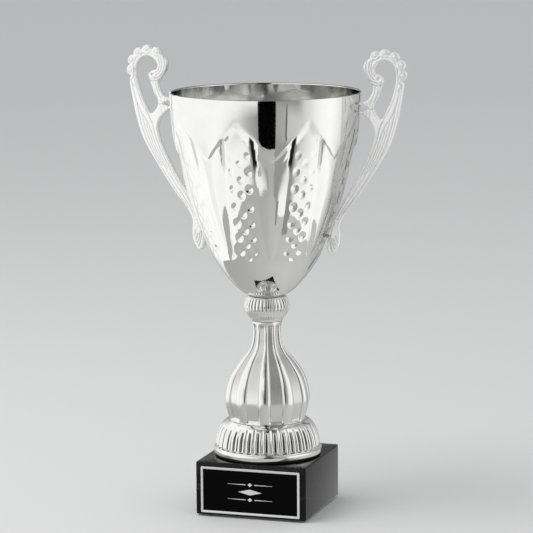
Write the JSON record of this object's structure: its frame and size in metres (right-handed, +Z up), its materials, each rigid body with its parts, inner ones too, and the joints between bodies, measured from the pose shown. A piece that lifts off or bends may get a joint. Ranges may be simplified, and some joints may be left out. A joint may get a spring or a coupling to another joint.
{
  "type": "cup trophy",
  "caption": "Silver presentation cup with embossed tulip bowl, scroll handles, fluted stem and ribbed foot on a square black stone block with a blank nameplate.",
  "frame": {"origin": "centre of the underside, level with the bottom of the rubber pads", "axes": "+Z up along the tie rod, -Y towards the nameplate, the handles lie along +X and -X"},
  "size_m": [0.2136, 0.14, 0.3415],
  "materials": {
    "silver_plate": "mirror-polished silver plate on thin pressed and cast metal",
    "satin_silver_plate": "bright satin silver plate on cast zinc, with engraved lines",
    "silver_solder": "plain bead of silver solder",
    "black_marble": "polished black marble",
    "black_anodised_aluminium": "black anodised sheet with a bright machined border",
    "acrylic_adhesive": "thin adhesive film",
    "zinc_plated_steel": "zinc-plated steel hardware",
    "black_rubber": "matt black rubber",
    "white_nylon": "natural nylon"
  },
  "bodies": {
    "root": {"bowl": "silver_plate", "handle_left": "satin_silver_plate", "handle_right": "satin_silver_plate", "solder_left_lower": "silver_solder", "solder_left_upper": "silver_solder", "solder_right_lower": "silver_solder", "solder_right_upper": "silver_solder", "handle_screw_left": "zinc_plated_steel", "handle_screw_right": "zinc_plated_steel", "screw_washer_left": "zinc_plated_steel", "screw_washer_right": "zinc_plated_steel", "collar": "silver_plate", "stem": "silver_plate", "foot": "silver_plate", "foot_gasket": "black_rubber", "marble_base": "black_marble", "nameplate": "black_anodised_aluminium", "nameplate_adhesive": "acrylic_adhesive", "tie_rod": "zinc_plated_steel", "bowl_nut": "zinc_plated_steel", "bowl_washer": "zinc_plated_steel", "bowl_seat_washer": "white_nylon", "base_nut": "zinc_plated_steel", "base_washer": "zinc_plated_steel", "base_lock_washer": "zinc_plated_steel", "base_pad_1": "black_rubber", "base_pad_2": "black_rubber", "base_pad_3": "black_rubber", "base_pad_4": "black_rubber"}
  },
  "joints": []
}
